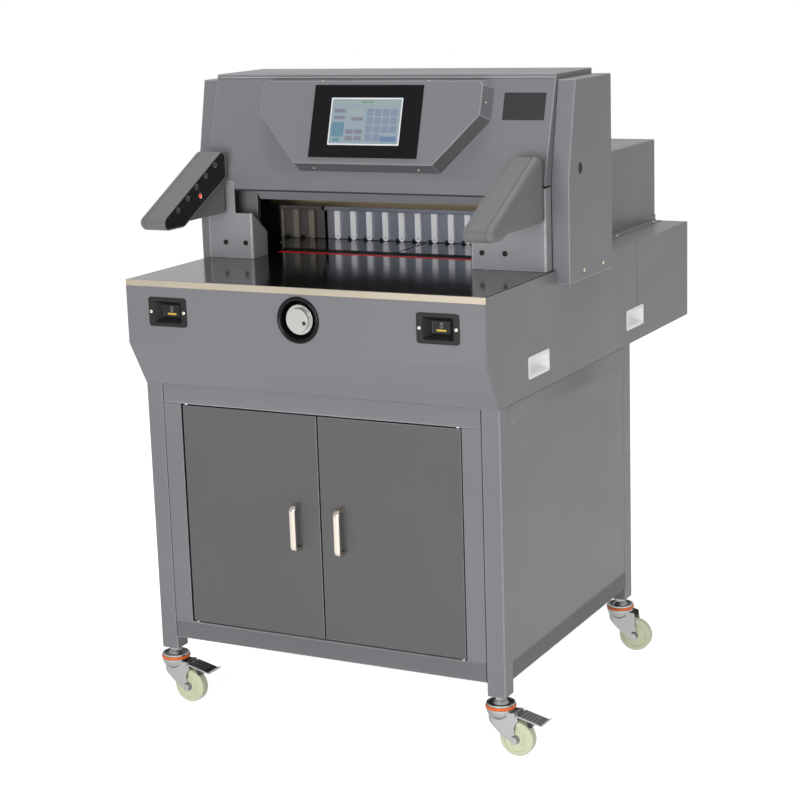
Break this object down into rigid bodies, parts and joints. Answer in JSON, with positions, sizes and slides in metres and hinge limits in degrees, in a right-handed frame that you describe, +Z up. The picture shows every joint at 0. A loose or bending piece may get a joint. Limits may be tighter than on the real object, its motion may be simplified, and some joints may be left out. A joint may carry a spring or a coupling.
{
  "type": "electric paper cutter",
  "caption": "Floor-standing electric guillotine paper cutter: motor-driven blade and clamp over a flat table, screw-driven backgauge, touch console, and a wheeled stand with hinged doors.",
  "frame": {"origin": "on the floor, under the middle of the stand's legs", "axes": "+X to the right as seen by the user, +Y to the back, +Z up"},
  "size_m": [0.9241, 1.146, 1.32],
  "materials": {
    "body_grey": "satin",
    "door_grey": "satin",
    "frame_grey": "satin",
    "arm_grey": "satin",
    "black_plastic": "matte",
    "gloss_black": "gloss",
    "zinc_plate": "zinc plated",
    "satin_chrome": "satin",
    "nylon": "satin",
    "seal_orange": "matte",
    "grip_white": "gloss",
    "trim_beige": "satin",
    "stick_red": "satin",
    "table_steel": "polished",
    "bright_steel": "ground",
    "blade_steel": "ground",
    "cast_grey": "painted",
    "bronze": "satin",
    "gauge_alloy": "anodised",
    "finger_white": "satin",
    "screw_dark": "satin"
  },
  "bodies": {
    "frame": {"stand_legs": "body_grey", "stand_rails": "body_grey", "cabinet_panels": "body_grey", "cabinet_floor": "body_grey", "base_pan": "body_grey", "base_front_panel": "body_grey", "base_panels": "body_grey", "column_covers": "body_grey", "guard_brackets": "body_grey", "head_cover": "body_grey", "console": "body_grey", "rear_guard": "body_grey", "side_frames": "frame_grey", "sensor_arms": "arm_grey", "arm_panels": "black_plastic", "button_plates": "black_plastic", "power_inlet": "black_plastic", "gauge_motor": "black_plastic", "dial_cup": "gloss_black", "touch_screen": "gloss_black", "caster_stems": "zinc_plate", "caster_seals": "seal_orange", "carry_grips": "grip_white", "table_trim": "trim_beige", "cutting_stick": "stick_red", "front_table": "table_steel", "rear_table": "table_steel", "throat_walls": "table_steel", "gauge_rails": "bright_steel", "door_pivots": "bright_steel", "bed_walls": "cast_grey", "head_beam": "cast_grey", "blade_drive": "cast_grey", "cover_screws": "screw_dark"},
    "door_left": {"door_left": "door_grey", "door_pull_left": "satin_chrome"},
    "door_right": {"door_right": "door_grey", "door_pull_right": "satin_chrome"},
    "blade": {"blade_carrier": "bright_steel", "blade": "blade_steel"},
    "clamp": {"clamp_beam": "bright_steel", "clamp_rods": "bright_steel"},
    "clamp_nut": {"clamp_nut": "bronze"},
    "backgauge": {"backgauge": "gauge_alloy", "gauge_fingers": "finger_white"},
    "lead_screw": {"lead_screw": "bright_steel"},
    "gauge_dial": {"gauge_dial": "zinc_plate"},
    "button_left": {"cut_button_left": "black_plastic"},
    "button_right": {"cut_button_right": "black_plastic"},
    "swivel_fl": {"caster_fork_fl": "zinc_plate"},
    "wheel_fl": {"caster_wheel_fl": "nylon"},
    "swivel_fr": {"caster_fork_fr": "zinc_plate"},
    "wheel_fr": {"caster_wheel_fr": "nylon"},
    "swivel_rl": {"caster_fork_rl": "zinc_plate"},
    "wheel_rl": {"caster_wheel_rl": "nylon"},
    "swivel_rr": {"caster_fork_rr": "zinc_plate"},
    "wheel_rr": {"caster_wheel_rr": "nylon"},
    "pedal_fl": {"brake_pedal_fl": "zinc_plate"},
    "pedal_fr": {"brake_pedal_fr": "zinc_plate"}
  },
  "joints": [
    {"name": "door_left_hinge", "type": "hinge", "parent": "frame", "child": "door_left", "pos_m": [-0.313, -0.342, 0.424], "axis": [0, 0, -1], "range_deg": [0, 105]},
    {"name": "door_right_hinge", "type": "hinge", "parent": "frame", "child": "door_right", "pos_m": [0.313, -0.342, 0.424], "axis": [0, 0, 1], "range_deg": [0, 105]},
    {"name": "blade_stroke", "type": "slide", "parent": "frame", "child": "blade", "axis": [0, 0, -1], "range_m": [0, 0.1015]},
    {"name": "clamp_stroke", "type": "slide", "parent": "frame", "child": "clamp", "axis": [0, 0, -1], "range_m": [0, 0.104]},
    {"name": "clamp_nut_turn", "type": "hinge", "parent": "frame", "child": "clamp_nut", "pos_m": [-0.0275, 0.0515, 1.2], "axis": [0, 0, 1], "continuous": true},
    {"name": "backgauge_travel", "type": "slide", "parent": "frame", "child": "backgauge", "axis": [0, 1, 0], "range_m": [-0.126, 0.324]},
    {"name": "lead_screw_turn", "type": "hinge", "parent": "frame", "child": "lead_screw", "pos_m": [-0.0275, 0.38, 0.88], "axis": [0, 1, 0], "continuous": true},
    {"name": "gauge_dial_turn", "type": "hinge", "parent": "frame", "child": "gauge_dial", "pos_m": [0, -0.403, 0.867], "axis": [0, 1, 0], "continuous": true},
    {"name": "button_left_press", "type": "slide", "parent": "frame", "child": "button_left", "axis": [0, 1, 0], "range_m": [0, 0.003], "stiffness_N_per_m": 400, "springref_m": -0.002},
    {"name": "button_right_press", "type": "slide", "parent": "frame", "child": "button_right", "axis": [0, 1, 0], "range_m": [0, 0.003], "stiffness_N_per_m": 400, "springref_m": -0.002},
    {"name": "caster_front_left_swivel", "type": "hinge", "parent": "frame", "child": "swivel_fl", "pos_m": [-0.385, -0.33, 0.094], "axis": [0, 0, 1], "continuous": true},
    {"name": "caster_front_left_roll", "type": "hinge", "parent": "swivel_fl", "child": "wheel_fl", "pos_m": [-0.34802, -0.33129, 0.0365], "axis": [0.0349, 0.9994, 0], "continuous": true},
    {"name": "brake_front_left", "type": "hinge", "parent": "swivel_fl", "child": "pedal_fl", "pos_m": [-0.34862, -0.33127, 0.083], "axis": [0.0349, 0.9994, 0], "range_deg": [0, 12]},
    {"name": "caster_front_right_swivel", "type": "hinge", "parent": "frame", "child": "swivel_fr", "pos_m": [0.385, -0.33, 0.094], "axis": [0, 0, 1], "continuous": true},
    {"name": "caster_front_right_roll", "type": "hinge", "parent": "swivel_fr", "child": "wheel_fr", "pos_m": [0.42198, -0.33129, 0.0365], "axis": [0.0349, 0.9994, 0], "continuous": true},
    {"name": "brake_front_right", "type": "hinge", "parent": "swivel_fr", "child": "pedal_fr", "pos_m": [0.42138, -0.33127, 0.083], "axis": [0.0349, 0.9994, 0], "range_deg": [0, 12]},
    {"name": "caster_rear_left_swivel", "type": "hinge", "parent": "frame", "child": "swivel_rl", "pos_m": [-0.385, 0.33, 0.094], "axis": [0, 0, 1], "continuous": true},
    {"name": "caster_rear_left_roll", "type": "hinge", "parent": "swivel_rl", "child": "wheel_rl", "pos_m": [-0.34801, 0.33065, 0.0365], "axis": [-0.0175, 0.9998, 0], "continuous": true},
    {"name": "caster_rear_right_swivel", "type": "hinge", "parent": "frame", "child": "swivel_rr", "pos_m": [0.385, 0.33, 0.094], "axis": [0, 0, 1], "continuous": true},
    {"name": "caster_rear_right_roll", "type": "hinge", "parent": "swivel_rr", "child": "wheel_rr", "pos_m": [0.42199, 0.33065, 0.0365], "axis": [-0.0175, 0.9998, 0], "continuous": true}
  ],
  "couplings": [
    {"joint": "clamp_nut_turn", "follows": "clamp_stroke", "rad_per_m": 785.4},
    {"joint": "lead_screw_turn", "follows": "backgauge_travel", "rad_per_m": 628.32}
  ]
}
